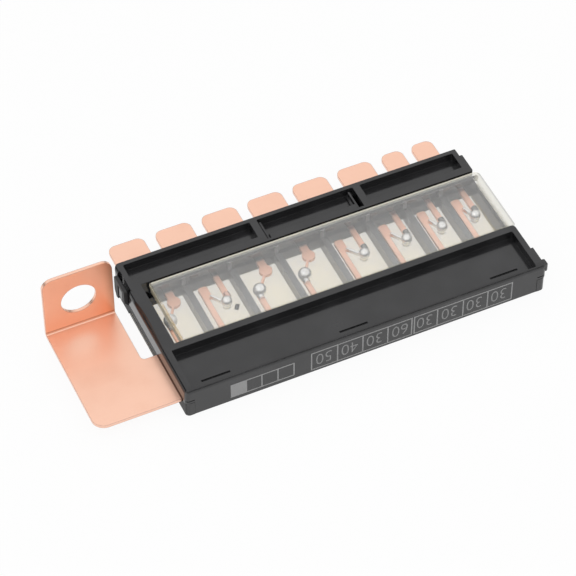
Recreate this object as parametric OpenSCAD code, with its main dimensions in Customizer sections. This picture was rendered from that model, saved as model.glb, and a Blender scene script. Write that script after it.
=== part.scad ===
// Fusible link block: two moulded halves clamp one stamped copper strip between two clear windows.
// Every module draws from the housing's front left base corner: X along the length, Y to the blades.

/* [Housing] */
// Width of the housing, front face to back face
body_w = 41; // [39.6:0.1:44]
// Height of the closed housing
body_h = 8.5; // [8.2:0.1:10]
// From the left end to the first blade
start_room = 2.1; // [1.8:0.1:4]
// From the last blade to the right end
end_room = 4.4; // [3.9:0.1:7]
// Radius of the upright corners
corner_r = 1; // [0.5:0.1:1.1]
// Radius of the front and left top edges
edge_r = 1.3; // [0.3:0.1:1.5]
// Width of the rims beside the pockets
rim_w = 1; // [0.9:0.1:1.4]
// Thickness of the front pocket's front wall
front_rim = 0.5; // [0.4:0.1:1.2]
// Depth of the pockets in the top
pocket_depth = 2.2; // [1:0.1:2.4]
// Width of the rail behind the window
rail_w = 2; // [1.6:0.1:2.4]
// Width of the rail in front of the window
front_rail_w = 1.7; // [1.4:0.1:2.4]
// How far the right end's shoulder steps out
shoulder_out = 1.25; // [0.85:0.05:1.4]
// Thickness of the front skirt that covers the lower half
skirt_t = 1.2; // [0.9:0.1:1.4]
// Length of the corner posts left bare by the skirt
post_l = 2.3; // [1.8:0.1:3]

/* [Window] */
// From the front face to the window opening
window_y = 13.9; // [13.4:0.1:15]
// Width of the window opening
window_w = 19.1; // [18.4:0.1:20]
// From the left end to the window opening
window_x = 3.6; // [3.2:0.1:4]
// Thickness of the window panes
pane_t = 1.2; // [0.8:0.1:1.4]
// Depth of the panes below the outer faces
pane_sink = 0.3; // [0.1:0.1:0.6]
// Gap round the panes
pane_gap = 0.15; // [0.1:0.05:0.3]
// Width of the ledges that carry the panes
ledge_w = 1.1; // [0.8:0.1:1.4]
// Thickness of the walls between the chambers
divider_t = 1.6; // [1.2:0.1:1.8]

/* [Copper strip] */
// Thickness of the copper sheet
strip_t = 0.8; // [0.6:0.1:1]
// Height of the sheet's underside above the base
strip_z = 3.2; // [3:0.1:3.4]
// Clearance round the sheet in its bed
bed_gap = 0.15; // [0.1:0.05:0.25]
// Pitch of the wide blades
blade_pitch = 11.6; // [11.4:0.1:13]
// Width of the wide blades
wide_blade_w = 8.8; // [8.2:0.1:9]
// Pitch of the narrow blades
narrow_pitch = 7.9; // [7.8:0.1:9]
// Width of the narrow blades
narrow_blade_w = 5.5; // [5.4:0.1:6]
// Reach of the blades beyond the back face
blade_reach = 9.1; // [6:0.1:12]
// Corner radius of the blade tips
blade_r = 1.8; // [0.8:0.1:2.4]

/* [Supply terminal] */
// Reach of the terminal plate beyond the left end
plate_reach = 20.1; // [18:0.1:26]
// Width of the plate where it enters the housing
plate_w = 13.9; // [13:0.1:14.3]
// Width of the arm and of the upright lug
lug_w = 16.6; // [15:0.1:17]
// From the front face to the lug's front face
lug_y = 31.6; // [28:0.1:34]
// Height of the lug's top above the base
lug_top = 21.2; // [19:0.1:26]
// Height of the stud hole's centre above the base
stud_z = 12.5; // [11:0.1:13.5]
// Diameter of the stud hole
stud_d = 8.4; // [6.4:0.1:10.5]
// Inside radius of the lug's bend
bend_r = 0.4; // [0.4:0.1:1.6]

/* [Fusible links] */
// Width of the feed and take strips of a link
link_w = 1.3; // [1:0.1:1.5]
// Width of the neck that melts
neck_w = 0.3; // [0.2:0.05:0.8]
// Radius of the tin beads
bead_r = 1.3; // [1:0.05:1.4]
// Height of the tin beads' centres above the sheet
bead_up = 0.5; // [0.2:0.1:0.7]

/* [Hidden] */
$fn = 48;
EPS = 0.05;
WIDE = 6;
BLADES = 8;
// Link layouts: a straight link steps sideways at its neck, a side link passes between two strips
STRAIGHT = [true, false, true, true, false, false, false, false];
// Feed and take strips, measured from their blade's left edge
FEED_IN = [4.1, 3, 2.9, 2.6, 2.3, 2, 0.3, 1.3];
TAKE_IN = [7.6, 7.7, 7.2, 6.4, 7.4, 6.6, 4.1, 4.8];
// Walls between the chambers, measured back from the next blade's left edge
DIVIDER_LEAD = [0.7, 0.8, 0.8, 0.8, 0.8, 2.8, 1.4];

body_l = blade_x(BLADES - 1) + narrow_blade_w + end_room;
part_z = strip_z + strip_t;
window_y1 = window_y + window_w;
pocket_z = body_h - pocket_depth;
pane_z = body_h - pane_sink - pane_t;
low_pane_z = pane_sink + pane_t;
ledge_t = 1.2;
shoulder_w = 11.3;
back_end_in = 1.9;
back_step_in = 0.7;
back_step_w = 2.4;
shoulder_h = 2.6;
shoulder_r = 0.8;
pocket_r = 0.3;
face_in = 0.05;
lower_in = 0.3;
lower_out = 0.2;
end_in = 0.2;
pocket_in = 2.1;
pocket_out = 2.6;
pane_x = window_x + 1.8;
pane_end_in = 0.8;
pane_r = 0.3;
pane_end_r = 1.3;
base_skin = 1.8;
side_rim = rim_w + 0.2;
split_z = part_z + 0.6;
split_gap = 0.25;
post_gap = 0.05;
fit = 0.15;

// Copper bus and link places
bus_y = skirt_t + 1.4;
bus_y1 = window_y - 1.5;
bus_x = 2.2;
plate_y = skirt_t + 0.9;
plate_r = 3;
inner_r = 1;
lug_r = 2.5;
root_y = window_y1 + 1.5;
bead_in = 9.6;
pad_in = 14.9;
head_in = 12.6;
bead_y = window_y + bead_in;
pad_y = window_y + pad_in;
head_y = window_y + head_in;
pad_r = 1.55;
head_w = 2.2;
head_l = 3.6;
bead_side_in = 1;
bead_more = 0.3;
neck_in = 0.45;
neck_more = 0.3;
bead_ahead = 0.4;
eye_r = 1;
pin_r = 0.45;
pin_gap = 0.05;
collar_r = 0.75;
collar_l = 1.7;
// Back ends of the collars, from the ball: on a straight link and on a side link
COLLAR_Y = [-0.6, 2.6];
tail_t = 0.3;

// Chamber walls
divider_rise = 0.7;
end_wall_in = 1;
end_wall_t = 1.25;
end_wall_x = body_l - end_wall_in - end_wall_t;
low_ledge_x1 = end_wall_x;
end_slot = 0.7;

// Snap loop and its catch at the left end, nose at the right end, snap arms at the back
loop_t = 0.9;
loop_out = 0.75;
loop_w = 5.9;
loop_y = body_w - 2.5 - loop_w;
loop_y1 = loop_y + loop_w;
loop_z = 1.75;
foot_z = part_z + 0.3;
foot_in = 1.1;
foot_rise = 1.65;
loop_top = body_h - 0.4;
loop_r = 0.8;
slot_y = loop_y + 1.4;
slot_y1 = slot_y + 2.4;
loop_slot_top = loop_top - 1.25;
loop_relief = 0.85;
loop_play = 0.3;
catch_out = 0.6;
catch_z = strip_z;
catch_lip = 0.3;
corner_pad_in = 0.65;
corner_pad_w = 5.8;
nose_y = 0.6;
nose_w = 1.8;
nose_z = part_z + 1.4;
nose_top = body_h - 0.9;
nose_r = 0.6;
arm_t = 0.45;
arm_shift = 0.3;
arm_top = body_h - 0.4;
arm_nose = 0.5;
arm_nose_h = 0.8;
arm_y = window_y1 + 0.8;
arm_y1 = body_w - rim_w - 0.7;
ARM_GAPS = [3, 5];
ARM_ROOM = [0.3, 1.1];
rib_w = 1.8;
hook_slot_l = 6.9;
hook_slot_w = 0.5;
hook_slot_depth = 0.4;
hook_slot_y = 2.9;
hook_slot_in = 8.75;
hook_slot_mid = 2.4;
hook_slot_out = 9.4;

function blade_x(i) = start_room + min(i, WIDE) * blade_pitch + max(0, i - WIDE) * narrow_pitch;
function blade_w(i) = i < WIDE ? wide_blade_w : narrow_blade_w;
function gap_x(i) = (blade_x(i - 1) + blade_w(i - 1) + blade_x(i)) / 2;
function feed_x(i) = blade_x(i) + FEED_IN[i];
function take_x(i) = blade_x(i) + TAKE_IN[i];
function bead_x(i) = STRAIGHT[i] ? feed_x(i) + bead_ahead : take_x(i) - bead_side_in;
function take_w(i) = STRAIGHT[i] ? link_w + 0.6 : link_w;
function head_at(i) = [feed_x(i) - link_w / 2 + head_w - neck_in, head_y + neck_in];
function divider_x(k) = blade_x(k + 1) - DIVIDER_LEAD[k];
function arm_x(k) = gap_x(ARM_GAPS[k]) + (k == 0 ? arm_shift : -arm_shift) - arm_t / 2;
function arm_side(k) = k == 0 ? 1 : -1;

// Puts the origin under the middle of the whole part, on the plane of the base
module from_corner() {
    translate([(plate_reach - body_l - loop_out) / 2, -(body_w + blade_reach) / 2, 0])
        children();
}

module block(a, b) {
    translate(a)
        cube(b - a);
}

module plate_2d(a, b, r) {
    translate([a.x + r, a.y])
        square([b.x - a.x - 2 * r, b.y - a.y]);
    translate([a.x, a.y + r])
        square([b.x - a.x, b.y - a.y - 2 * r]);
    for (x = [a.x + r, b.x - r], y = [a.y + r, b.y - r])
        translate([x, y])
            circle(r);
}

module round_block(a, b, r) {
    translate([0, 0, a.z])
        linear_extrude(b.z - a.z)
            plate_2d([a.x, a.y], [b.x, b.y], r);
}

// Outline of the upper half, open at the right end between its two rails
module upper_plan() {
    x0 = end_in + corner_r;
    plate_2d([end_in, face_in], [window_x, body_w], corner_r);
    plate_2d([end_in, face_in], [body_l - shoulder_out, window_y], corner_r);
    plate_2d([end_in, face_in], [body_l, shoulder_w], corner_r);
    plate_2d([x0, window_y1], [body_l - back_end_in, body_w - back_step_w], pocket_r);
    plate_2d([x0, window_y1], [body_l - back_end_in - back_step_in, body_w], pocket_r);
}

// Ends seen from the front: a rounded top edge on the left, a shoulder below the rim on the right
module end_profile() {
    rim_x = body_l - shoulder_out;
    translate([end_in, part_z])
        square([rim_x - end_in, body_h - part_z - edge_r]);
    translate([end_in + edge_r, part_z])
        square([rim_x - end_in - edge_r, body_h - part_z]);
    translate([end_in + edge_r, body_h - edge_r])
        circle(edge_r);
    translate([rim_x - 1, part_z])
        square([shoulder_out + 1, shoulder_h - shoulder_r]);
    translate([rim_x - 1, part_z])
        square([shoulder_out + 1 - shoulder_r, shoulder_h]);
    translate([body_l - shoulder_r, part_z + shoulder_h - shoulder_r])
        circle(shoulder_r);
}

// Housing seen from the left end: the rounded front top edge
module front_edge_profile() {
    translate([face_in, part_z])
        square([body_w - face_in, body_h - part_z - edge_r]);
    translate([face_in + edge_r, part_z])
        square([body_w - face_in - edge_r, body_h - part_z]);
    translate([face_in + edge_r, body_h - edge_r])
        circle(edge_r);
}

module upper_shell() {
    intersection() {
        translate([0, 0, part_z])
            linear_extrude(body_h - part_z)
                upper_plan();
        union() {
            translate([0, body_w, 0])
                rotate([90, 0, 0])
                    linear_extrude(body_w)
                        end_profile();
            block([body_l - shoulder_out - 1, 0, part_z], [body_l - corner_pad_in, corner_pad_w, body_h]);
        }
        rotate([90, 0, 90])
            linear_extrude(body_l)
                front_edge_profile();
    }
}

// Small rounded nose low on the right end, beside the front corner
module end_nose() {
    intersection() {
        round_block([body_l - shoulder_out - 1, nose_y, nose_z], [body_l + loop_out, nose_y + nose_w, nose_top], nose_r);
        translate([0, body_w, 0])
            rotate([90, 0, 0])
                linear_extrude(body_w)
                    plate_2d([body_l - shoulder_out - 2, part_z - 2], [body_l + loop_out, nose_top], nose_r);
    }
}

module front_pocket() {
    round_block([pocket_in, face_in + front_rim, pocket_z],
                [body_l - pocket_out, window_y - front_rail_w, body_h + 1], pocket_r);
}

module back_pockets() {
    y0 = window_y1 + rail_w;
    y1 = body_w - rim_w;
    left_end = arm_x(0) - ARM_ROOM[0];
    right_start = arm_x(1) + arm_t + ARM_ROOM[1];
    right_end = body_l - back_end_in - back_step_in - side_rim;
    round_block([pocket_in, y0, pocket_z], [left_end - rib_w, y1, body_h + 1], pocket_r);
    round_block([left_end, y0, pocket_z], [right_start, y1, body_h + 1], pocket_r);
    round_block([right_start + rib_w, y0, pocket_z], [right_end, y1, body_h + 1], pocket_r);
}

module arm_slots() {
    for (k = [0, 1]) {
        outer = ARM_ROOM[k];
        low = k == 0 ? outer : fit;
        high = k == 0 ? fit : outer;
        block([arm_x(k) - low, arm_y - fit, part_z - 1], [arm_x(k) + arm_t + high, arm_y1 + fit, body_h + 1]);
    }
}

module hook_slots() {
    for (x = [hook_slot_in, body_l / 2 - hook_slot_mid, body_l - hook_slot_out])
        block([x - hook_slot_l / 2, hook_slot_y, pocket_z - hook_slot_depth],
              [x + hook_slot_l / 2, hook_slot_y + hook_slot_w, pocket_z + 1]);
}

// Ledges under the upper pane, with a rib under the back ledge at each chamber wall
module upper_ledges() {
    x0 = pane_x - pane_gap;
    x1 = body_l - back_end_in - pocket_r;
    block([x0, window_y - 1, pane_z - ledge_t], [x1, window_y + ledge_w, pane_z]);
    block([x0, window_y1 - ledge_w, pane_z - ledge_t], [x1, window_y1 + 1, pane_z]);
    block([x1 - 1, window_y1 - ledge_w, pane_z - ledge_t], [body_l - end_wall_in, window_y1 - 2 * pane_gap, pane_z]);
    for (k = [0 : BLADES - 2])
        block([divider_x(k), window_y1 - ledge_w, part_z],
              [divider_x(k) + divider_t, window_y1 + 1, pane_z - ledge_t / 2]);
}

// Wall behind the snap loop, with the catch that the loop drops over
module catch_pad() {
    root = (loop_relief + pocket_in) / 2;
    top = loop_slot_top - fit;
    low = part_z + fit;
    block([loop_relief, loop_y - loop_play, part_z], [root, loop_y1 + loop_play, body_h]);
    translate([0, slot_y1 - fit, 0])
        rotate([90, 0, 0])
            linear_extrude(slot_y1 - slot_y - 2 * fit)
                polygon([[root, top], [catch_lip - catch_out, top], [-catch_out, top - catch_lip],
                         [-catch_out, catch_z + catch_lip], [catch_lip - catch_out, catch_z],
                         [loop_relief - fit, catch_z], [loop_relief - fit, low], [root, low]]);
}

module loop_recess() {
    block([-1, loop_y - loop_play, part_z - 1], [loop_relief, loop_y1 + loop_play, body_h + 1]);
}

// Short open joints above the corner posts
module post_joints() {
    for (x = [-1, body_l - post_l])
        block([x, -1, split_z], [x + post_l + 1, 0.6, split_z + split_gap]);
}

module upper_housing() {
    color([0.1, 0.1, 0.11])
        from_corner() {
            difference() {
                union() {
                    upper_shell();
                    upper_ledges();
                    end_nose();
                    block([post_l + post_gap, face_in, 0], [body_l - post_l - post_gap, skirt_t, part_z + 1]);
                }
                front_pocket();
                back_pockets();
                arm_slots();
                hook_slots();
                post_joints();
                loop_recess();
            }
            catch_pad();
        }
}

// Outline of the lower half, stepped at the right end as the upper half is
module lower_plan() {
    plate_2d([lower_in, 0], [body_l - lower_out, window_y], corner_r);
    plate_2d([lower_in, corner_r], [body_l - end_wall_in, body_w - 3 * corner_r], pocket_r);
    plate_2d([lower_in, window_y1 - rail_w], [body_l - back_end_in, body_w], corner_r);
}

// Beds for the bus, the strips of the links and the blades
module strip_beds() {
    top = part_z + 1;
    block([-1, plate_y - bed_gap, strip_z], [bus_x + bed_gap, plate_y + plate_w + bed_gap, top]);
    block([bus_x, bus_y - bed_gap, strip_z], [bus_end() + bed_gap, bus_y1 + bed_gap, top]);
    for (i = [0 : BLADES - 1]) {
        half_feed = link_w / 2 + bed_gap;
        half_take = take_w(i) / 2 + bed_gap;
        block([feed_x(i) - half_feed, bus_y1 - 1, strip_z], [feed_x(i) + half_feed, window_y + ledge_w + 1, top]);
        block([take_x(i) - half_take, window_y1 - ledge_w - 1, strip_z], [take_x(i) + half_take, root_y + 1, top]);
        block([blade_x(i) - bed_gap, root_y - bed_gap, strip_z],
              [blade_x(i) + blade_w(i) + bed_gap, body_w + 1, top]);
    }
}

// Rebate for the lower pane, open at the left end, and the opening above it
module lower_opening() {
    block([-1, window_y, -1], [low_ledge_x1, window_y1, low_pane_z]);
    block([-1, window_y + ledge_w, -1], [lower_in + end_slot, window_y1 - ledge_w, low_pane_z + end_slot]);
    block([window_x, window_y + ledge_w, -1], [low_ledge_x1, window_y1 - ledge_w, part_z + 1]);
}

module dividers() {
    for (k = [0 : BLADES - 2]) {
        x = divider_x(k);
        block([x, window_y + ledge_w - 1, low_pane_z], [x + divider_t, window_y1 - ledge_w + 1, part_z]);
        block([x, window_y + ledge_w, low_pane_z], [x + divider_t, window_y1 - ledge_w - fit, part_z + divider_rise]);
    }
    block([end_wall_x, window_y + ledge_w - 1, 0], [end_wall_x + end_wall_t, window_y1 - ledge_w, part_z + divider_rise]);
}

// Flexible loop at the left end: an arch on two legs, with the catch between them
module snap_loop() {
    shank = loop_top - 2 * loop_r;
    intersection() {
        translate([-loop_out - 1, 0, 0])
            rotate([90, 0, 90])
                linear_extrude(loop_t + 2)
                    difference() {
                        union() {
                            plate_2d([loop_y, shank - loop_r], [loop_y1, loop_top], loop_r);
                            polygon([[loop_y, shank], [loop_y, foot_z], [loop_y1 - foot_in, loop_z],
                                     [loop_y1, loop_z + foot_rise], [loop_y1, shank]]);
                        }
                        translate([slot_y, 0])
                            square([slot_y1 - slot_y, loop_slot_top]);
                    }
        translate([0, body_w, 0])
            rotate([90, 0, 0])
                linear_extrude(body_w)
                    plate_2d([-loop_out, 0], [loop_t - loop_out, loop_top], loop_r / 2);
    }
    loop_root(loop_y + fit, slot_y - fit, foot_z);
    loop_root(slot_y1 + fit, loop_y1 - foot_in, loop_z + foot_rise);
}

// Sloping root that ties one leg of the loop to the housing's end
module loop_root(y0, y1, z) {
    translate([0, y1, 0])
        rotate([90, 0, 0])
            linear_extrude(y1 - y0)
                polygon([[EPS - loop_out, z + 0.3], [EPS - loop_out, z], [lower_in + EPS, z - 1.3],
                         [lower_in + EPS, min(z, part_z - fit)], [loop_t - loop_out - EPS, z + 0.3]]);
}

module loop_relief_cut() {
    block([-1, slot_y - fit, catch_z - fit], [loop_relief, slot_y1 + fit, part_z + 1]);
}

// Thin arms that pass up between the blades and hook on the middle pocket's floor
module snap_arms() {
    for (k = [0, 1]) {
        block([arm_x(k), arm_y, part_z - 1], [arm_x(k) + arm_t, arm_y1, arm_top]);
        translate([arm_x(k) + arm_t / 2, arm_y1, pocket_z + fit])
            rotate([90, 0, 0])
                linear_extrude(arm_y1 - window_y1 - rail_w - fit)
                    polygon([[0, 0], [arm_side(k) * (arm_t / 2 + arm_nose), 0],
                             [arm_side(k) * (arm_t / 2 + arm_nose), 0.2], [0, arm_nose_h]]);
    }
}

// Shallow coring in the base, front and back
module base_pockets() {
    depth = strip_z - base_skin;
    inset = post_l + 1;
    round_block([inset, skirt_t + rim_w + fit, -1], [body_l - inset, window_y - rail_w, depth], pocket_r);
    round_block([inset, window_y1 + rail_w, -1], [body_l - back_end_in - inset, body_w - rim_w, depth], pocket_r);
}

module lower_housing() {
    color([0.14, 0.14, 0.15])
        from_corner() {
            difference() {
                linear_extrude(part_z)
                    lower_plan();
                block([post_l, -1, -1], [body_l - post_l, skirt_t + fit, part_z + 1]);
                strip_beds();
                lower_opening();
                base_pockets();
                loop_relief_cut();
            }
            dividers();
            snap_loop();
            snap_arms();
        }
}

module upper_window() {
    x1 = body_l - pane_end_in;
    y0 = window_y + pane_gap;
    y1 = window_y1 - 2 * pane_gap;
    lip_y = window_y + ledge_w + pane_gap;
    lip_y1 = window_y1 - ledge_w - pane_gap;
    lip_z = part_z + bead_up + bead_r + bead_more + fit;
    lip_t = 0.75;
    color([0.9, 0.88, 0.8, 0.5])
        from_corner() {
            translate([0, 0, pane_z])
                linear_extrude(pane_t) {
                    plate_2d([pane_x, y0], [x1 - 2 * pane_end_r, y1], pane_r);
                    plate_2d([pane_x + 2 * pane_end_r, y0], [x1, y1], pane_end_r);
                    plate_2d([pane_x + 2 * pane_end_r, y0], [x1, y1 - 2 * pane_end_r], pane_r);
                }
            block([pane_x, lip_y, lip_z], [pane_x + lip_t, lip_y1, pane_z + EPS]);
            block([x1 - lip_t, lip_y, part_z + divider_rise + fit], [x1, lip_y1, pane_z + EPS]);
        }
}

module lower_window() {
    color([0.9, 0.88, 0.8, 0.5])
        from_corner()
            round_block([lower_in, window_y + pane_gap, pane_sink],
                        [low_ledge_x1 - pane_gap, window_y1 - pane_gap, low_pane_z], pane_t / 2);
}

function bus_end() = feed_x(BLADES - 1) + link_w / 2 + 0.8;

// Straight bar of the given width between two points of the sheet
module bar_2d(a, b, w) {
    translate(a)
        rotate(atan2(b.y - a.y, b.x - a.x))
            translate([0, -w / 2])
                square([norm(b - a), w]);
}

// Supply plate, its arm and the bus that feeds the links
module supply_2d() {
    x0 = -plate_reach;
    y1 = plate_y + plate_w;
    translate([x0 + plate_r, plate_y])
        square([plate_reach + bus_x - plate_r, plate_w]);
    translate([x0, plate_y + plate_r])
        square([lug_w, lug_y - bend_r - plate_y - plate_r]);
    translate([x0 + plate_r, plate_y + plate_r])
        circle(plate_r);
    translate([x0 + lug_w, y1])
        difference() {
            square(inner_r);
            translate([inner_r, inner_r])
                circle(inner_r);
        }
    translate([bus_x - 1, bus_y])
        square([bus_end() - bus_x + 1, bus_y1 - bus_y]);
}

module blade_2d(i) {
    y1 = body_w + blade_reach;
    translate([blade_x(i), root_y]) {
        square([blade_w(i), y1 - root_y - blade_r]);
        translate([blade_r, 0])
            square([blade_w(i) - 2 * blade_r, y1 - root_y]);
        for (x = [blade_r, blade_w(i) - blade_r])
            translate([x, y1 - root_y - blade_r])
                circle(blade_r);
    }
}

// One link: its feed strip, its neck, the eye of its bead and its take strip
module link_2d(i) {
    feed_top = STRAIGHT[i] ? bead_y - eye_r : head_y + link_w;
    pad = [take_x(i), pad_y];
    eye = [bead_x(i), bead_y];
    take_y = STRAIGHT[i] ? pad_y : bead_y + link_w;
    bar_2d([feed_x(i), bus_y1 - EPS], [feed_x(i), feed_top + EPS], link_w);
    bar_2d([take_x(i), take_y], [take_x(i), root_y + EPS], take_w(i));
    bar_2d(STRAIGHT[i] ? pad : head_at(i), eye, STRAIGHT[i] ? neck_w + neck_more : neck_w);
    translate(eye)
        circle(eye_r);
    if (STRAIGHT[i]) {
        translate(pad)
            circle(pad_r);
        bar_2d([feed_x(i), feed_top], eye, link_w);
    } else {
        translate([feed_x(i) - link_w / 2, head_y])
            plate_2d([0, 0], [head_w, head_l], link_w / 2 - EPS);
        bar_2d(eye, [take_x(i), take_y + link_w / 2], link_w);
    }
}

// Upright lug with the stud hole, and the bend that joins it to the arm
module lug() {
    translate([-plate_reach, lug_y - bend_r, part_z + bend_r])
        rotate([0, 90, 0])
            rotate_extrude(angle = 90)
                translate([bend_r, 0])
                    square([strip_t, lug_w]);
    difference() {
        translate([-plate_reach, lug_y + strip_t, 0])
            rotate([90, 0, 0])
                linear_extrude(strip_t) {
                    translate([0, part_z + bend_r])
                        square([lug_w, lug_top - part_z - bend_r - lug_r]);
                    plate_2d([0, lug_top - 2 * lug_r - 1], [lug_w, lug_top], lug_r);
                }
        translate([-plate_reach + lug_w / 2, lug_y - 1, stud_z])
            rotate([-90, 0, 0])
                cylinder(d = stud_d, h = strip_t + 2);
    }
}

module copper_strip() {
    color([0.85, 0.5, 0.35])
        from_corner() {
            difference() {
                translate([0, 0, strip_z])
                    linear_extrude(strip_t) {
                        supply_2d();
                        for (i = [0 : BLADES - 1]) {
                            blade_2d(i);
                            link_2d(i);
                        }
                    }
                for (i = [0 : BLADES - 1])
                    translate([bead_x(i), bead_y, strip_z - 1])
                        cylinder(r = pin_r + pin_gap, h = strip_t + 2);
            }
            lug();
        }
}

// Tin bead pinned through its eye: a ball, a collar crimped on the strip beside it and, on a side
// link, a tapered tail along the neck
module tin_bead(i) {
    ball_r = STRAIGHT[i] ? bead_r + bead_more : bead_r;
    collar_x = (STRAIGHT[i] ? feed_x(i) : take_x(i)) - bead_x(i);
    foot = sqrt(ball_r * ball_r - bead_up * bead_up);
    color([0.8, 0.8, 0.82])
        from_corner()
            translate([bead_x(i), bead_y, part_z]) {
                intersection() {
                    union() {
                        translate([0, 0, bead_up])
                            sphere(ball_r);
                        translate([collar_x, COLLAR_Y[STRAIGHT[i] ? 0 : 1], 0])
                            rotate([90, 0, 0])
                                cylinder(r = collar_r, h = collar_l);
                    }
                    translate([0, 0, (ball_r + bead_up) / 2])
                        cube([6 * ball_r, 6 * ball_r, ball_r + bead_up], center = true);
                }
                if (!STRAIGHT[i])
                    linear_extrude(tail_t)
                        tail_2d(head_at(i) - [bead_x(i), bead_y], foot);
                translate([0, 0, -strip_t - 0.5])
                    cylinder(r = pin_r, h = strip_t + 0.5 + EPS);
                translate([0, 0, -strip_t - 0.5])
                    cylinder(r = eye_r, h = 0.5);
            }
}

// Taper from the ball to the far end of the neck
module tail_2d(to, foot) {
    rotate(atan2(to.y, to.x))
        polygon([[0, -foot / 3], [norm(to), -neck_w / 2], [norm(to), neck_w / 2], [0, foot / 3]]);
}

module tin_bead_1() { tin_bead(0); }
module tin_bead_2() { tin_bead(1); }
module tin_bead_3() { tin_bead(2); }
module tin_bead_4() { tin_bead(3); }
module tin_bead_5() { tin_bead(4); }
module tin_bead_6() { tin_bead(5); }
module tin_bead_7() { tin_bead(6); }
module tin_bead_8() { tin_bead(7); }

upper_housing();
lower_housing();
upper_window();
lower_window();
copper_strip();
tin_bead_1();
tin_bead_2();
tin_bead_3();
tin_bead_4();
tin_bead_5();
tin_bead_6();
tin_bead_7();
tin_bead_8();
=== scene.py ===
"""Dresses the fusible link block: black mouldings, copper stamping, milky windows, tin beads and print."""

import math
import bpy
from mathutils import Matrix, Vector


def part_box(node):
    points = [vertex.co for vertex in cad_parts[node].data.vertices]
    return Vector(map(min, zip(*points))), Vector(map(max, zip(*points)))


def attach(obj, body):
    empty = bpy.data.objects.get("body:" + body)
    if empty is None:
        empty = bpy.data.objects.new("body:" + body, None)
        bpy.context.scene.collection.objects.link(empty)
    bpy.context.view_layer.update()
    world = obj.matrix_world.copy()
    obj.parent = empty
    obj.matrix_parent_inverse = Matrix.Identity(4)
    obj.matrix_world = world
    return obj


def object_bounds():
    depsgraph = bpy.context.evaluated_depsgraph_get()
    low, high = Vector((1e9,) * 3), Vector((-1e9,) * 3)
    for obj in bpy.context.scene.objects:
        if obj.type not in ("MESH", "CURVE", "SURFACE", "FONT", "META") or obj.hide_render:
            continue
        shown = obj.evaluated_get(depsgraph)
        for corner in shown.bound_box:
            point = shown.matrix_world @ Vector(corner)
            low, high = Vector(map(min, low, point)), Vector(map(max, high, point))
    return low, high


bl_info = {
    "name": "Fusible link block",
    "version": (1, 0, 0),
    "blender": (4, 5, 0),
    "location": "View3D > Sidebar > Link Block",
    "description": "Finishes, print and studio for a fusible link block",
    "category": "Object",
}

import bpy
from mathutils import Matrix, Vector

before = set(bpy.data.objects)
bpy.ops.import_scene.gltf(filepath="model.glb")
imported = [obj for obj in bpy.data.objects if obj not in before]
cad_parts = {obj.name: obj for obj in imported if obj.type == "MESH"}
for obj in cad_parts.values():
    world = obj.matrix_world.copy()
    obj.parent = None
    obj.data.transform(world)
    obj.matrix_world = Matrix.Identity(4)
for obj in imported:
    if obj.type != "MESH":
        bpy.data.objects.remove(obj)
CAD_BOX = [[float(v) for v in corner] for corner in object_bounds()]

MM = 0.001

# Faces that places are measured from, with the plate's reach from the housing's left end in millimetres
PLATE_REACH = 20.1
LEFT = CAD_BOX[0][0] + PLATE_REACH * MM
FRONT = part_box("upper_housing")[0][1]
PANE_LOW, PANE_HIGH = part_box("upper_window")
LOWER_PANE_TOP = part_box("lower_window")[1][2]

# Left faces of the walls between the chambers, in millimetres from the left end
WALLS = (13.0, 24.5, 36.1, 47.7, 59.3, 68.9, 78.2)

# Width of the stripe of painted light on the rib behind each wall, in millimetres
RIB_STRIPE = 1.1

# Where the painted light on the chamber walls starts to change and where it ends, in millimetres from the
# front face
PAINTED_LIGHT_START = 16.0
PAINTED_LIGHT_END = 32.0

# Stretch that takes in all links, and where in it the narrow ones follow the wide ones, as for the walls
LINKS_START = 2.0
LINKS_SPLIT = 50.0
LINKS_END = 95.0

# Links that turn aside, by the number of their bead: places of the feed and of the bead, as for the walls
SIDE_LINKS = {2: (16.7, 20.4), 5: (50.8, 54.9), 6: (62.1, 65.7), 7: (72.0, 74.8), 8: (80.9, 83.4)}

# Colours of zones on the pieces, most of them painted light and shade, and of the small mark
# Grey of painted light on the chamber walls and on the ribs behind them
PAINTED_LIGHT_GREY = (0.2, 0.2, 0.2)
# Dark grey: painted shade along the tin's edges, and the colour of the side beads' collars
EDGE_SHADE_AND_COLLAR_GREY = (0.1, 0.1, 0.09)
# Painted shadow of the slot above the lower window's left end
PAINTED_SLOT_SHADOW = (0.01, 0.01, 0.01)
SHADE = (0.055, 0.055, 0.056)
# Painted shade on the copper: where the plate enters the housing, in the crease, and the housing's reflection
# on the lug
PAINTED_COPPER_SHADE = (0.11, 0.037, 0.019)
# Painted reddish shade where the narrow links go under the back ledge
PAINTED_RED_SHADE = (0.3, 0.09, 0.07)
# Painted warm light: the plate's copper reflected on the lug, and the warmer links at the back
PAINTED_WARM_LIGHT = (1.0, 0.4, 0.2)
COPPER_STAIN = (0.8, 0.42, 0.3)
TINNING = (0.85, 0.84, 0.78)
MARK_DARK = (0.05, 0.05, 0.05)

# How far the edge of a zone fades, in millimetres to each side
SOFT = 0.06

# Samples of a rounded edge, and how metallic the copper, the tin and the first bead's dull tin are
EDGE_SAMPLES = 6
COPPER_METAL = 0.82
TIN_METAL = 0.62
DULL_TIN_METAL = 0.1

# Camera: its angles in degrees, its aim in millimetres from the left end, the front face and the base,
# its distance in metres and its sensor's width in millimetres
CAMERA_YAW = -24.858
CAMERA_RISE = 48.746
CAMERA_AIM = (35.177, 22.412, 3.0)
CAMERA_DISTANCE = 0.639007
CAMERA_SENSOR = 36.0

# Floor, ring of cloth and lamp, in metres
FLOOR_SIZE = 6.0
FLOOR_DROP = 0.00005
RING_RADIUS = 1.2
RING_HEIGHT = 0.45
RING_MIDDLE = 0.26
LAMP_PLACE = (-0.25, -0.2, 0.6)
LAMP_SIZE = 0.5

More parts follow.
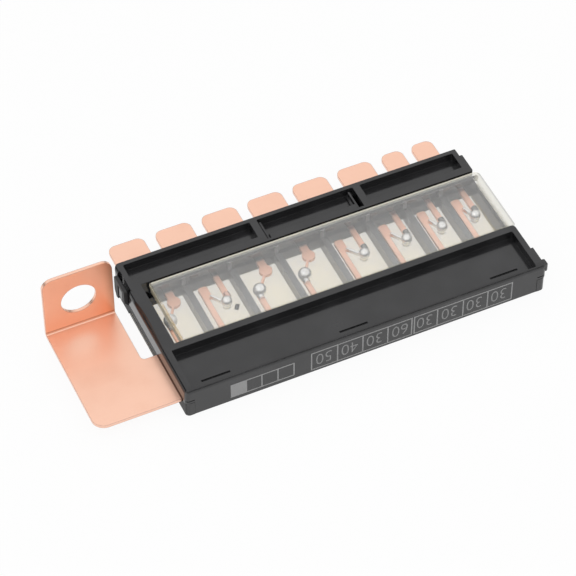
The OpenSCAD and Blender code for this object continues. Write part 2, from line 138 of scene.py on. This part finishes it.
# White of the studio, and the share of it that the floor shows to the camera
WHITE = (1.0, 1.0, 1.0, 1.0)
FLOOR_GLOW = 0.93


def along_block(distance):
    """Place along the length, in millimetres from the housing's left end."""
    return LEFT + distance * MM


def into_block(distance):
    """Place across the width, in millimetres from the housing's front face."""
    return FRONT + distance * MM


def span(axis, origin, first, last, soft=SOFT):
    """A band of a zone, in millimetres from an origin."""
    return (axis, origin + first * MM, origin + last * MM, soft * MM)


def lengthwise(first, last, soft=SOFT):
    return span("X", LEFT, first, last, soft)


def crosswise(first, last, soft=SOFT):
    return span("Y", FRONT, first, last, soft)


def upward(first, last, soft=SOFT):
    return span("Z", 0.0, first, last, soft)


def rgba(colour):
    return (colour[0], colour[1], colour[2], 1.0)


def dimmed(colour, share):
    return [value * share for value in colour]


class Wire:
    """A shader output that takes part in Python arithmetic."""

    def __init__(self, finish, socket):
        self.finish = finish
        self.socket = socket

    def math(self, operation, first, second):
        return self.finish.make("ShaderNodeMath", {"operation": operation}, {0: first, 1: second})

    def __add__(self, other):
        return self.math("ADD", self, other)

    __radd__ = __add__

    def __sub__(self, other):
        return self.math("SUBTRACT", self, other)

    def __rsub__(self, other):
        return self.math("SUBTRACT", other, self)

    def __mul__(self, other):
        return self.math("MULTIPLY", self, other)

    __rmul__ = __mul__


class Finish:
    """A material whose nodes come from one method."""

    def __init__(self, name):
        self.material = bpy.data.materials.new(name)
        self.material.use_nodes = True
        self.tree = self.material.node_tree
        self.tree.nodes.clear()

    def make(self, kind, settings=None, sockets=None, out=0):
        """The one place that adds a node: its settings first, then the values or links of its sockets."""
        node = self.tree.nodes.new(kind)
        for name, value in (settings or {}).items():
            setattr(node, name, value)
        for key, value in (sockets or {}).items():
            if isinstance(value, Wire):
                self.tree.links.new(value.socket, node.inputs[key])
            else:
                node.inputs[key].default_value = value
        return Wire(self, node.outputs[out]) if node.outputs else None

    def place(self):
        return self.make("ShaderNodeTexCoord", out="Object")

    def along(self, axis):
        return self.make("ShaderNodeSeparateXYZ", {}, {0: self.place()}, out=axis)

    def stretched(self, scale):
        return self.make("ShaderNodeMapping", {}, {"Vector": self.place(), "Scale": scale})

    def noise(self, scale, detail=3.0, rough=0.5, vector=None):
        return self.make("ShaderNodeTexNoise", {}, {"Vector": vector or self.place(), "Scale": scale,
                                                    "Detail": detail, "Roughness": rough})

    def spread(self, value, low, high, to_low=0.0, to_high=1.0):
        """Takes a range of values smoothly to another."""
        return self.make("ShaderNodeMapRange", {"interpolation_type": "SMOOTHSTEP"},
                         {0: value, 1: low, 2: high, 3: to_low, 4: to_high})

    def mix(self, factor, first, second):
        return self.make("ShaderNodeMix", {"data_type": "RGBA"}, {0: factor, 6: first, 7: second}, out=2)

    def rounded(self, radius):
        return self.make("ShaderNodeBevel", {"samples": EDGE_SAMPLES}, {"Radius": radius * MM})

    def edges(self, radius, low=0.01, high=0.2):
        """1 along the edges of a piece, 0 on its flats."""
        flat = self.make("ShaderNodeNewGeometry", out="True Normal")
        agree = self.make("ShaderNodeVectorMath", {"operation": "DOT_PRODUCT"},
                          {0: self.rounded(radius), 1: flat}, out="Value")
        return self.spread(1.0 - agree, low, high)

    def band(self, axis, low, high, soft):
        """1 between two places along an axis, 0 beyond them."""
        place = self.along(axis)
        return (self.spread(place, low - soft, low + soft)
                * self.spread(place, high - soft, high + soft, 1.0, 0.0))

    def zone(self, bands):
        """1 where several bands overlap."""
        share = self.band(*bands[0])
        for band in bands[1:]:
            share = share * self.band(*band)
        return share

    def relief(self, height, strength, depth, edge=None):
        """Bump of a depth in millimetres, over edges rounded to a radius in millimetres."""
        sockets = {"Height": height, "Strength": strength, "Distance": depth * MM}
        if edge:
            sockets["Normal"] = self.rounded(edge)
        return self.make("ShaderNodeBump", {}, sockets)

    def surface(self, **sockets):
        named = {key.replace("_", " "): value for key, value in sockets.items()}
        shader = self.make("ShaderNodeBsdfPrincipled", {}, named, out="BSDF")
        self.output(shader)
        return self.material

    def output(self, shader):
        self.make("ShaderNodeOutputMaterial", {}, {"Surface": shader})


def moulded(name, colour, gloss, dull=(), painted_light=()):
    """Black moulded plastic: a fine spark-eroded grain, faint flow clouds, soft edges.

    Dull zones have a roughness of their own. Zones of painted light turn grey, by one share where the
    painted light starts to change and by another where it ends.
    """
    finish = Finish(name)
    clouds = finish.noise(scale=140.0, detail=4.0)
    grain = finish.noise(scale=5200.0, detail=2.0)
    pale = tuple(min(1.0, value * 1.5 + 0.003) for value in colour)
    tint = finish.mix(finish.spread(clouds, 0.35, 0.75), rgba(colour), rgba(pale))
    for bands, near, far in painted_light:
        fade = finish.spread(finish.along("Y"), into_block(PAINTED_LIGHT_START), into_block(PAINTED_LIGHT_END), near, far)
        tint = finish.mix(finish.zone(bands) * fade, tint, rgba(PAINTED_LIGHT_GREY))
    rough = finish.spread(clouds, 0.3, 0.7, gloss - 0.02, gloss + 0.03) + (grain - 0.5) * 0.03
    for bands, blunt in dull:
        rough = rough + (blunt - rough) * finish.zone(bands)
    return finish.surface(Base_Color=tint, Roughness=rough, IOR=1.6,
                          Normal=finish.relief(grain, strength=0.04, depth=0.02, edge=0.1))


def stamped_copper(name, colour, gloss, shades, tinned, painted_light_links):
    """Bare rolled copper with faint streaks, warm clouds and painted shade along its edges.

    Shades are zones with a share of another colour, painted shade, reflection and warm light; tinned zones
    are silvery, and the zone of painted light on the links is less of a metal, to brighten it.
    """
    finish = Finish(name)
    streaks = finish.noise(scale=1.0, detail=4.0, rough=0.6,
                           vector=finish.stretched((90.0, 2600.0, 2600.0)))
    clouds = finish.noise(scale=95.0, detail=4.0)
    warm = (colour[0] * 0.93, colour[1] * 0.86, colour[2] * 0.82, 1.0)
    edge_shade = (colour[0] * 0.58, colour[1] * 0.6, colour[2] * 0.68, 1.0)
    tint = finish.mix(finish.spread(clouds, 0.5, 0.85, 0.0, 0.7), rgba(colour), warm)
    tint = finish.mix(finish.spread(streaks, 0.35, 0.9, 0.0, 0.06), tint, warm)
    for bands in tinned:
        tint = finish.mix(finish.zone(bands), tint, rgba(TINNING))
    # Painted shade along the edges
    tint = finish.mix(finish.edges(0.22, low=0.003, high=0.1) * 0.9, tint, edge_shade)
    for bands, share, shade in shades:
        tint = finish.mix(finish.zone(bands) * share, tint, rgba(shade))
    metal = COPPER_METAL - finish.zone(painted_light_links) * 0.55
    rough = finish.spread(streaks, 0.3, 0.8, gloss - 0.03, gloss + 0.04)
    rough = rough + finish.spread(clouds, 0.4, 0.8, 0.0, 0.05)
    return finish.surface(Base_Color=tint, Metallic=metal, Roughness=rough,
                          Normal=finish.relief(streaks, strength=0.03, depth=0.03, edge=0.1))


def milky_pane(name, colour, cover, gloss, strips):
    """Clear milky moulded plastic, with strips along its edges that have their own colour and cover."""
    finish = Finish(name)
    clouds = finish.noise(scale=120.0)
    deep = rgba(dimmed(colour, 0.94))
    tint = finish.mix(finish.spread(clouds, 0.4, 0.75), rgba(colour), deep)
    veil = finish.spread(clouds, 0.3, 0.7, cover - 0.006, cover + 0.006)
    for bands, paint, hide in strips:
        strip = finish.zone(bands)
        tint = finish.mix(strip, tint, rgba(paint))
        veil = veil + (hide - veil) * strip
    rough = finish.spread(clouds, 0.3, 0.7, gloss, gloss + 0.03)
    return finish.surface(Base_Color=tint, Roughness=rough, IOR=1.5, Alpha=veil)


def cast_tin(name, colour, metal, collar=None, collar_colour=None):
    """Bright tin, frozen smooth, dull in its hollows, with painted shade along its edges and a colour of its
    own on its collar.
    """
    finish = Finish(name)
    dimples = finish.noise(scale=1300.0)
    dull = rgba(dimmed(colour, 0.82))
    tint = finish.mix(finish.spread(dimples, 0.45, 0.75), rgba(colour), dull)
    if collar:
        tint = finish.mix(finish.zone(collar) * 0.85, tint, rgba(collar_colour))
    # Painted shade along the edges
    tint = finish.mix(finish.edges(0.16) * 0.9, tint, rgba(EDGE_SHADE_AND_COLLAR_GREY))
    rough = finish.spread(dimples, 0.3, 0.7, 0.07, 0.13)
    return finish.surface(Base_Color=tint, Metallic=metal, Roughness=rough,
                          Normal=finish.relief(dimples, strength=0.08, depth=0.08))


def pad_ink(name, colour):
    """Thin pad print, a little uneven where the ink ran thin."""
    finish = Finish(name)
    specks = finish.noise(scale=4200.0)
    thin = rgba(dimmed(colour, 0.85))
    tint = finish.mix(finish.spread(specks, 0.45, 0.7), rgba(colour), thin)
    return finish.surface(Base_Color=tint, Roughness=finish.spread(specks, 0.3, 0.7, 0.4, 0.5))


def white_floor(name, colour):
    """Pale floor that shows the object's shadow and reads as white to the camera."""
    finish = Finish(name)
    lit = finish.make("ShaderNodeBsdfDiffuse", {}, {"Color": rgba(colour)})
    glow = finish.make("ShaderNodeEmission", {}, {"Color": WHITE, "Strength": 1.0})
    path = {out: finish.make("ShaderNodeLightPath", out=out)
            for out in ("Is Camera Ray", "Is Glossy Ray", "Is Transmission Ray")}
    seen = path["Is Camera Ray"].math("MAXIMUM", path["Is Camera Ray"], path["Is Glossy Ray"])
    seen = seen.math("MAXIMUM", seen, path["Is Transmission Ray"])
    shader = finish.make("ShaderNodeMixShader", {}, {0: seen * FLOOR_GLOW, 1: lit, 2: glow})
    finish.output(shader)
    return finish.material


def flag_cloth(name):
    """Studio cloth, grey toward the camera and dark behind the set."""
    finish = Finish(name)
    grey, dark = (0.55, 0.55, 0.55), (0.05, 0.05, 0.05)
    tint = finish.mix(finish.spread(finish.along("Y"), -0.7, 0.5), rgba(grey), rgba(dark))
    return finish.surface(Base_Color=tint, Roughness=0.9)


def dress(names, material):
    """Gives CAD pieces a finish."""
    for name in names:
        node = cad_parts[name]
        node.data.materials.clear()
        node.data.materials.append(material)


def clear_selection():
    """Leaves edit mode and deselects everything, so that operators act on the next piece alone."""
    if bpy.context.object and bpy.context.object.mode != "OBJECT":
        bpy.ops.object.mode_set(mode="OBJECT")
    bpy.ops.object.select_all(action="DESELECT")


def settle(piece, name, material):
    """Applies a piece's place to its mesh and makes it ride on the part."""
    bpy.ops.object.transform_apply(location=True, rotation=True, scale=True)
    piece.name = name
    piece.data.name = name
    piece.data.materials.clear()
    piece.data.materials.append(material)
    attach(piece, "root")


def film(sheet, name, material, sizes):
    """Gives a printed sheet the thickness of its ink."""
    skin = sheet.modifiers.new("film", "SOLIDIFY")
    skin.thickness = sizes.film
    skin.offset = 1.0
    bpy.ops.object.modifier_apply(modifier="film")
    settle(sheet, name, material)


def cell_row(name, ends, heights, splits, filled, material, sizes):
    """A printed row of cells: one sheet cut at its splits, with the inside of every open cell taken out."""
    left, right = [along_block(end) for end in ends]
    low, high = [height * MM for height in heights]
    cuts = [along_block(split) for split in splits]
    clear_selection()
    bpy.ops.mesh.primitive_plane_add(size=1.0, rotation=(math.radians(90.0), 0.0, 0.0),
                                     location=((left + right) / 2, FRONT, (low + high) / 2))
    sheet = bpy.context.object
    sheet.scale = (right - left, high - low, 1.0)
    bpy.ops.object.transform_apply(location=True, rotation=True, scale=True)
    bpy.ops.object.mode_set(mode="EDIT")
    bpy.ops.mesh.select_mode(type="FACE")
    for cut in cuts:
        bpy.ops.mesh.select_all(action="SELECT")
        bpy.ops.mesh.bisect(plane_co=(cut, FRONT, 0.0), plane_no=(1.0, 0.0, 0.0))
    bpy.ops.mesh.select_all(action="SELECT")
    bpy.ops.mesh.inset(thickness=sizes.line / 2, use_individual=False)
    bpy.ops.mesh.inset(thickness=sizes.line / 2, use_individual=True)
    bpy.ops.object.mode_set(mode="OBJECT")
    for face in sheet.data.polygons:
        face.select = face.select and not (filled and face.center.x < cuts[0])
    bpy.ops.object.mode_set(mode="EDIT")
    bpy.ops.mesh.delete(type="FACE")
    bpy.ops.object.mode_set(mode="OBJECT")
    film(sheet, name, material, sizes)


class LINKBLOCK_PG_finishes(bpy.types.PropertyGroup):
    """Colours and gloss of the pieces."""

    plastic: bpy.props.FloatVectorProperty(name="Plastic", description="Colour of the black mouldings",
                                           subtype="COLOR", default=(0.012, 0.012, 0.013), min=0.0, max=1.0)
    plastic_gloss: bpy.props.FloatProperty(name="Plastic roughness", description="Roughness of the mouldings",
                                           subtype="FACTOR", default=0.15, min=0.0, max=1.0)
    copper: bpy.props.FloatVectorProperty(name="Copper", description="Colour of the bare copper",
                                          subtype="COLOR", default=(0.99, 0.625, 0.475), min=0.0, max=1.0)
    copper_gloss: bpy.props.FloatProperty(name="Copper roughness", description="Roughness of the copper",
                                          subtype="FACTOR", default=0.34, min=0.0, max=1.0)
    pane: bpy.props.FloatVectorProperty(name="Upper pane", description="Colour of the upper window's milk",
                                        subtype="COLOR", default=(0.98, 0.98, 0.97), min=0.0, max=1.0)
    pane_veil: bpy.props.FloatProperty(name="Upper milkiness",
                                       description="How much a face of the upper window hides",
                                       subtype="FACTOR", default=0.135, min=0.0, max=1.0)
    tray: bpy.props.FloatVectorProperty(name="Lower pane", description="Colour of the lower window's milk",
                                        subtype="COLOR", default=(1.0, 0.74, 0.08), min=0.0, max=1.0)
    tray_veil: bpy.props.FloatProperty(name="Lower milkiness",
                                       description="How much a face of the lower window hides",
                                       subtype="FACTOR", default=0.235, min=0.0, max=1.0)
    amber: bpy.props.FloatVectorProperty(name="Pane lip", description="Colour of the upper window's left lip",
                                         subtype="COLOR", default=(0.55, 0.4, 0.2), min=0.0, max=1.0)
    # Also the colour of the painted highlight along the upper window's back edge
    frost_and_highlight: bpy.props.FloatVectorProperty(name="Pane frost",
                                         description="Colour of the windows' frosted edges",
                                         subtype="COLOR", default=(0.8, 0.78, 0.66), min=0.0, max=1.0)
    tin: bpy.props.FloatVectorProperty(name="Tin", description="Colour of the beads",
                                       subtype="COLOR", default=(0.95, 0.95, 0.93), min=0.0, max=1.0)


class LINKBLOCK_PG_print(bpy.types.PropertyGroup):
    """Colour and sizes of the print."""

    ink: bpy.props.FloatVectorProperty(name="Ink", description="Colour of the print on the front face",
                                       subtype="COLOR", default=(0.33, 0.33, 0.33), min=0.0, max=1.0)
    line: bpy.props.FloatProperty(name="Line width", description="Width of the printed lines",
                                  default=0.3 * MM, unit="LENGTH")
    film: bpy.props.FloatProperty(name="Film", description="Thickness of the ink",
                                  default=0.03 * MM, unit="LENGTH")
    digit: bpy.props.FloatProperty(name="Digit height", description="Height of the ratings' digits",
                                   default=3.55 * MM, unit="LENGTH")


class LINKBLOCK_PG_studio(bpy.types.PropertyGroup):
    """Floor, light and camera."""

    floor: bpy.props.FloatVectorProperty(name="Floor", description="Colour of the floor",
                                         subtype="COLOR", default=(0.9, 0.9, 0.9), min=0.0, max=1.0)
    sky: bpy.props.FloatProperty(name="Sky", description="Strength of the white surround",
                                 default=1.0, min=0.0)
    lamp: bpy.props.FloatProperty(name="Lamp", description="Power of the soft lamp",
                                  default=0.35, min=0.0, unit="POWER")
    lens: bpy.props.FloatProperty(name="Lens", description="Focal length of the camera",
                                  default=175.81, min=1.0, unit="CAMERA")


class LINKBLOCK_OT_housing(bpy.types.Operator):
    """Gives both moulded halves their black plastic"""

    bl_idname = "linkblock.housing"
    bl_label = "Housing halves"

    def execute(self, context):
        look = context.scene.linkblock_finishes
        plastic, gloss = list(look.plastic), look.plastic_gloss
        lower_gloss = gloss + 0.06
        # Painted light: a lighter stripe on each rib behind a wall
        ribs = [((lengthwise(wall, wall + RIB_STRIPE), crosswise(31.7, PAINTED_LIGHT_END)), 1.0, 1.0)
                for wall in WALLS]
        dress(["upper_housing"], moulded("upper_moulding", plastic, gloss, painted_light=ribs))
        end = ((lengthwise(-1.0, 0.6),), 0.6)
        # Painted light on the chamber walls, strongest toward the front
        chambers = ((lengthwise(6.2, 86.5), crosswise(15.1, 31.5), upward(1.55, 5.0)), 1.0, 0.3)
        dress(["lower_housing"], moulded("lower_moulding", plastic, lower_gloss,
                                         dull=(end,), painted_light=(chambers,)))
        return {"FINISHED"}


class LINKBLOCK_OT_copper(bpy.types.Operator):
    """Gives the stamped strip its bare copper"""

    bl_idname = "linkblock.copper"
    bl_label = "Copper strip"

    def execute(self, context):
        look = context.scene.linkblock_finishes
        # Painted light on the links at the back of the chambers: less metal there, and a warmer tint
        painted_light_links = (lengthwise(LINKS_START, LINKS_END), crosswise(25.5, PAINTED_LIGHT_END, 1.0))
        dress(["copper_strip"], stamped_copper("rolled_copper", list(look.copper), look.copper_gloss,
                                               self.lug_shades() + self.link_shades(painted_light_links),
                                               self.tinned(), painted_light_links))
        return {"FINISHED"}

    def lug_shades(self):
        """Painted shadow where the plate enters the housing and in the lug's crease, and painted reflection
        of plate and housing on the lug.
        """
        plate = lengthwise(-30.0, 0.0)
        face = crosswise(31.45, 31.8)
        upright = upward(4.4, 30.0)
        # Painted shadow at the entry and in the crease, painted reflection of plate and housing on the lug
        return [((lengthwise(0.0, 0.4),), 0.9, PAINTED_COPPER_SHADE),
                ((plate, face, upward(2.0, 9.0, 4.0)), 0.3, PAINTED_WARM_LIGHT),
                ((lengthwise(-7.0, 0.0, 3.0), face, upright), 0.65, PAINTED_WARM_LIGHT),
                ((lengthwise(-4.4, 0.0, 1.5), face, upright), 0.4, PAINTED_COPPER_SHADE),
                ((plate, face, upward(4.45, 4.8)), 0.4, PAINTED_COPPER_SHADE)]

    def link_shades(self, painted_light_links):
        """Painted warm light on the links toward the back of the chambers, and painted shade on their ends
        under the back ledge.
        """
        wide = lengthwise(LINKS_START, LINKS_SPLIT)
        narrow = lengthwise(LINKS_SPLIT, LINKS_END)
        ledge_end = 38.0
        # Painted warm light at the back, then painted shade on the ends under the back ledge
        return [(painted_light_links, 0.25, PAINTED_WARM_LIGHT),
                ((narrow, crosswise(31.8, ledge_end, 0.4)), 0.75, PAINTED_RED_SHADE),
                ((wide, crosswise(31.9, ledge_end, 0.5)), 1.0, SHADE),
                ((narrow, crosswise(33.1, ledge_end, 0.2)), 1.0, SHADE)]

    def tinned(self):
        """Tin that ran along each side link, up to its bead and in front of it."""
        zones = []
        for feed, bead in SIDE_LINKS.values():
            zones.append((lengthwise(feed + 1.5, bead + 0.3), crosswise(22.2, 26.5)))
            zones.append((lengthwise(bead - 1.2, bead + 1.2), crosswise(22.2, 23.6)))
        return zones


class LINKBLOCK_OT_windows(bpy.types.Operator):
    """Gives both windows their milky plastic"""

    bl_idname = "linkblock.windows"
    bl_label = "Windows"

    def execute(self, context):
        look = context.scene.linkblock_finishes
        dress(["upper_window"], milky_pane("upper_pane", list(look.pane), look.pane_veil, gloss=0.05,
                                           strips=self.upper_strips(look)))
        dress(["lower_window"], milky_pane("lower_pane", list(look.tray), look.tray_veil, gloss=0.45,
                                           strips=self.lower_strips(look)))
        return {"FINISHED"}

    def upper_strips(self, look):
        """Seat, back edge with its painted highlight, front edge, right end and its edge, left lip in front
        and behind, left face.
        """
        milk, frost_and_highlight, amber = list(look.pane), list(look.frost_and_highlight), list(look.amber)
        left, front = PANE_LOW[0], PANE_LOW[1]
        right, back = PANE_HIGH[0], PANE_HIGH[1]
        olive, moss = (0.5, 0.48, 0.38), (0.38, 0.38, 0.3)
        cream, honey = (1.0, 0.97, 0.86), (1.0, 0.88, 0.64)
        # Reach past the pane's faces, where its lip changes colour and how softly, and its left face's depth
        past, turn, fade, skin = 1.0, 6.0, 2.0, 0.03
        lip_front = ("Y", front - past * MM, back - turn * MM, fade * MM)
        lip_back = span("Y", back, -turn, past, fade)
        return (((span("Y", back, -1.9, -0.5, 0.1), upward(8.0, 9.0)), milk, 0.25),
                # Painted highlight along the back edge
                ((span("Y", back, -0.45, past),), frost_and_highlight, 0.68),
                ((span("Y", front, -past, 0.45),), olive, 0.38),
                ((span("X", right, -1.6, past, 0.1),), cream, 0.4),
                ((span("X", right, -0.35, past),), moss, 0.32),
                ((span("X", left, -past, 0.6), lip_front), amber, 0.5),
                ((span("X", left, skin, 0.5, 0.02), lip_back), frost_and_highlight, 0.22),
                ((span("X", left, -past, skin, 0.01),), honey, 0.95))

    def lower_strips(self, look):
        """Light rim, and painted shadow of the slot above it, at the left end."""
        end = lengthwise(-1.0, 0.5)
        return (((end, upward(0.0, 0.5)), list(look.frost_and_highlight), 0.8),
                ((end, upward(0.5, 2.0)), PAINTED_SLOT_SHADOW, 0.95))


class LINKBLOCK_OT_beads(bpy.types.Operator):
    """Gives the beads their tin"""

    bl_idname = "linkblock.beads"
    bl_label = "Tin beads"

    def execute(self, context):
        tin = list(context.scene.linkblock_finishes.tin)
        dress(["tin_bead_1"], cast_tin("dull_tin", tin, DULL_TIN_METAL))
        dress(["tin_bead_3", "tin_bead_4"], cast_tin("frozen_tin", tin, TIN_METAL))
        # The second bead's collar takes the copper's colour, the other collars are dark grey
        collar_colours = {2: COPPER_STAIN}
        for number, (_, bead) in SIDE_LINKS.items():
            collar = (lengthwise(bead + 0.1, bead + 2.2), crosswise(24.5, 27.0))
            dress(["tin_bead_%d" % number],
                  cast_tin("collared_tin_%d" % number, tin, TIN_METAL, collar, collar_colours.get(number, EDGE_SHADE_AND_COLLAR_GREY)))
        return {"FINISHED"}


class LINKBLOCK_OT_cells(bpy.types.Operator):
    """Prints the rows of cells on the front face"""

    bl_idname = "linkblock.cells"
    bl_label = "Printed cells"

    def execute(self, context):
        sizes = context.scene.linkblock_print
        ink = pad_ink("cell_ink", list(sizes.ink))
        # Left and right end, lower and upper edge, splits between the cells, whether the first cell is filled
        rows = {
            "indicator_cells": ((10.9, 26.4), (1.1, 5.4), (14.7, 18.45, 22.35), True),
            "rating_cells_left": ((30.4, 55.52), (0.6, 6.4), (36.95, 43.2, 49.4), False),
            "rating_cells_right": ((55.87, 80.85), (0.6, 6.4), (61.8, 68.3, 74.5), False),
        }
        for name, (ends, heights, splits, filled) in rows.items():
            cell_row(name, ends, heights, splits, filled, ink, sizes)
        return {"FINISHED"}


class LINKBLOCK_OT_mark(bpy.types.Operator):
    """Puts the small dark mark on the lower window, beside the second bead"""

    bl_idname = "linkblock.mark"
    bl_label = "Window mark"

    def execute(self, context):
        width, length, corner = 1.0 * MM, 1.78 * MM, 0.06 * MM
        clear_selection()
        bpy.ops.mesh.primitive_plane_add(size=1.0, rotation=(0.0, 0.0, math.radians(-34.4)),
                                         location=(along_block(22.87), into_block(23.3), LOWER_PANE_TOP))
        sheet = bpy.context.object
        sheet.scale = (width, length, 1.0)
        bpy.ops.object.transform_apply(location=True, rotation=True, scale=True)
        bpy.ops.object.mode_set(mode="EDIT")
        bpy.ops.mesh.select_all(action="SELECT")
        bpy.ops.mesh.bevel(offset=corner, segments=3, affect="VERTICES")
        bpy.ops.object.mode_set(mode="OBJECT")
        # The mark is a small dark sheet, given the finish of the print
        film(sheet, "window_mark", pad_ink("mark_dark", MARK_DARK), context.scene.linkblock_print)
        return {"FINISHED"}


class LINKBLOCK_OT_digits(bpy.types.Operator):
    """Prints the ratings, which read from the back of the block"""

    bl_idname = "linkblock.digits"
    bl_label = "Printed ratings"

    def execute(self, context):
        sizes = context.scene.linkblock_print
        ink = pad_ink("digit_ink", dimmed(sizes.ink, 0.85))
        ratings = [("50", 33.65), ("40", 39.92), ("30", 46.13), ("60", 52.45),
                   ("30", 58.65), ("30", 64.87), ("30", 71.17), ("30", 77.4)]
        for number, (words, middle) in enumerate(ratings, 1):
            self.rating("rating_digits_%d" % number, words, middle, ink, sizes)
        return {"FINISHED"}

    def rating(self, name, words, middle, ink, sizes):
        """One rating, upside down on the front face, in narrow and slightly thinned digits."""
        height, digit_share, thinning, narrow = 3.8 * MM, 0.7, 0.07 * MM, 0.85
        clear_selection()
        bpy.ops.object.text_add(location=(along_block(middle), FRONT, height),
                                rotation=(math.radians(90.0), math.radians(180.0), 0.0))
        text = bpy.context.object
        text.data.body = words
        text.data.align_x = "CENTER"
        text.data.align_y = "CENTER"
        text.data.size = sizes.digit / digit_share
        text.data.extrude = sizes.film / 2
        text.data.offset = -thinning
        text.scale.x = narrow
        text.data.resolution_u = 6
        bpy.ops.object.convert(target="MESH")
        settle(bpy.context.object, name, ink)


class LINKBLOCK_OT_studio(bpy.types.Operator):
    """Sets the floor, the soft light and the camera"""

    bl_idname = "linkblock.studio"
    bl_label = "Studio"

    def execute(self, context):
        look = context.scene.linkblock_studio
        context.scene.view_settings.view_transform = "Standard"
        self.floor(look)
        self.flag()
        self.light(context, look)
        self.camera(context, look)
        return {"FINISHED"}

    def floor(self, look):
        clear_selection()
        bpy.ops.mesh.primitive_plane_add(size=FLOOR_SIZE, location=(0.0, 0.0, -FLOOR_DROP))
        floor = bpy.context.object
        floor.name = "studio_floor"
        floor.data.materials.append(white_floor("studio_white", list(look.floor)))

    def flag(self):
        """A ring of cloth low around the set, which draws the edges of glossy pieces."""
        clear_selection()
        bpy.ops.mesh.primitive_cylinder_add(vertices=64, radius=RING_RADIUS, depth=RING_HEIGHT,
                                            end_fill_type="NOTHING", location=(0.0, 0.0, RING_MIDDLE))
        ring = bpy.context.object
        ring.name = "studio_flag"
        ring.data.materials.append(flag_cloth("flag_cloth"))

    def light(self, context, look):
        """A white surround and one large lamp over the left front corner."""
        world = bpy.data.worlds.new("studio_sky")
        world.use_nodes = True
        surround = world.node_tree.nodes["Background"]
        surround.inputs["Color"].default_value = WHITE
        surround.inputs["Strength"].default_value = look.sky
        context.scene.world = world
        clear_selection()
        bpy.ops.object.light_add(type="AREA", location=LAMP_PLACE)
        lamp = bpy.context.object
        lamp.name = "soft_lamp"
        lamp.data.size = LAMP_SIZE
        lamp.data.energy = look.lamp
        lamp.rotation_euler = (-lamp.location).to_track_quat("-Z", "Y").to_euler()

    def camera(self, context, look):
        """A long lens that looks down on the block from its front and left."""
        yaw = math.radians(CAMERA_YAW)
        rise = math.radians(CAMERA_RISE)
        back = Vector((math.sin(yaw) * math.cos(rise), -math.cos(yaw) * math.cos(rise), math.sin(rise)))
        right = Vector((math.cos(yaw), math.sin(yaw), 0.0))
        up = back.cross(right)
        aim = Vector((along_block(CAMERA_AIM[0]), into_block(CAMERA_AIM[1]), CAMERA_AIM[2] * MM))
        eye = aim + back * CAMERA_DISTANCE
        data = bpy.data.cameras.new("studio_camera")
        data.lens = look.lens
        data.sensor_width = CAMERA_SENSOR
        data.clip_start = 0.01
        camera = bpy.data.objects.new("studio_camera", data)
        context.scene.collection.objects.link(camera)
        camera.matrix_world = Matrix.Translation(eye) @ Matrix((right, up, back)).transposed().to_4x4()
        context.scene.camera = camera


class LINKBLOCK_PT_panel(bpy.types.Panel):
    """Lists the steps that dress the block"""

    bl_idname = "LINKBLOCK_PT_panel"
    bl_label = "Link Block"
    bl_space_type = "VIEW_3D"
    bl_region_type = "UI"
    bl_category = "Link Block"

    def draw(self, context):
        layout = self.layout
        for group in (context.scene.linkblock_finishes, context.scene.linkblock_print,
                      context.scene.linkblock_studio):
            box = layout.box()
            for name in group.__annotations__:
                box.prop(group, name)
        for step in STEPS:
            layout.operator(step.bl_idname)


STEPS = (LINKBLOCK_OT_housing, LINKBLOCK_OT_copper, LINKBLOCK_OT_windows, LINKBLOCK_OT_beads,
         LINKBLOCK_OT_cells, LINKBLOCK_OT_mark, LINKBLOCK_OT_digits, LINKBLOCK_OT_studio)
GROUPS = {"linkblock_finishes": LINKBLOCK_PG_finishes, "linkblock_print": LINKBLOCK_PG_print,
          "linkblock_studio": LINKBLOCK_PG_studio}


def register():
    for group in GROUPS.values():
        bpy.utils.register_class(group)
    for step in STEPS:
        bpy.utils.register_class(step)
    bpy.utils.register_class(LINKBLOCK_PT_panel)
    for name, group in GROUPS.items():
        setattr(bpy.types.Scene, name, bpy.props.PointerProperty(type=group))


def unregister():
    for name in GROUPS:
        delattr(bpy.types.Scene, name)
    bpy.utils.unregister_class(LINKBLOCK_PT_panel)
    for step in reversed(STEPS):
        bpy.utils.unregister_class(step)
    for group in reversed(list(GROUPS.values())):
        bpy.utils.unregister_class(group)


def main():
    register()
    bpy.ops.linkblock.housing()
    bpy.ops.linkblock.copper()
    bpy.ops.linkblock.windows()
    bpy.ops.linkblock.beads()
    bpy.ops.linkblock.cells()
    bpy.ops.linkblock.mark()
    bpy.ops.linkblock.digits()
    bpy.ops.linkblock.studio()


if __name__ == "__main__":
    main()
